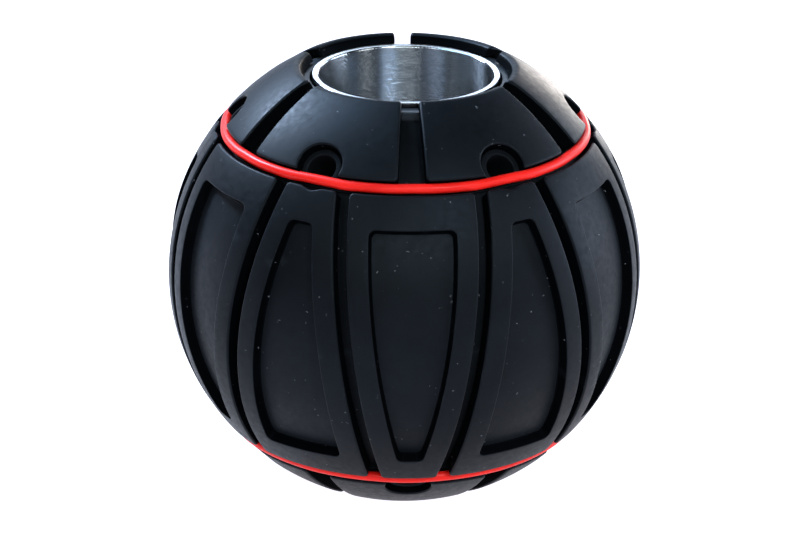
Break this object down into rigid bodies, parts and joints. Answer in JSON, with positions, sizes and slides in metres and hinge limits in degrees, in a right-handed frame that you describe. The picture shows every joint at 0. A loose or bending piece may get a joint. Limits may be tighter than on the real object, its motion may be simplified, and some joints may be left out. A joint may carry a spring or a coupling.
{
  "type": "case opening friction ball",
  "caption": "Hand-held grip ball for turning watch case backs by friction, with rubber grip pads and retaining rings on a bored core round a metal sleeve.",
  "frame": {"origin": "centre of the ball, on the bore's axis and midway between the sleeve's two ends", "axes": "+Z along the bore out of the end that is shown open, +X to the right and -Y to the front, where two pads of the upper cap meet at a groove"},
  "size_m": [0.0642, 0.0642, 0.0578],
  "materials": {
    "machined_metal": "turned, bright, with fine tool marks",
    "core_plastic": "moulded, matte black",
    "pad_rubber": "moulded, matte black with a faint blue-grey sheen",
    "red_rubber": "satin red"
  },
  "bodies": {
    "root": {"sleeve": "machined_metal", "core_top": "core_plastic", "core_bottom": "core_plastic", "collar_ring_top": "core_plastic", "collar_ring_bottom": "core_plastic", "o_ring_top": "red_rubber", "o_ring_bottom": "red_rubber", "cap_pad_top_1": "pad_rubber", "cap_pad_top_2": "pad_rubber", "cap_pad_top_3": "pad_rubber", "cap_pad_top_4": "pad_rubber", "cap_pad_top_5": "pad_rubber", "cap_pad_top_6": "pad_rubber", "cap_pad_bottom_1": "pad_rubber", "cap_pad_bottom_2": "pad_rubber", "cap_pad_bottom_3": "pad_rubber", "cap_pad_bottom_4": "pad_rubber", "cap_pad_bottom_5": "pad_rubber", "cap_pad_bottom_6": "pad_rubber", "band_pad_wide_top_1": "pad_rubber", "band_pad_wide_top_2": "pad_rubber", "band_pad_wide_top_3": "pad_rubber", "band_pad_wide_top_4": "pad_rubber", "band_pad_wide_top_5": "pad_rubber", "band_pad_wide_top_6": "pad_rubber", "band_pad_wide_bottom_1": "pad_rubber", "band_pad_wide_bottom_2": "pad_rubber", "band_pad_wide_bottom_3": "pad_rubber", "band_pad_wide_bottom_4": "pad_rubber", "band_pad_wide_bottom_5": "pad_rubber", "band_pad_wide_bottom_6": "pad_rubber"}
  },
  "joints": []
}
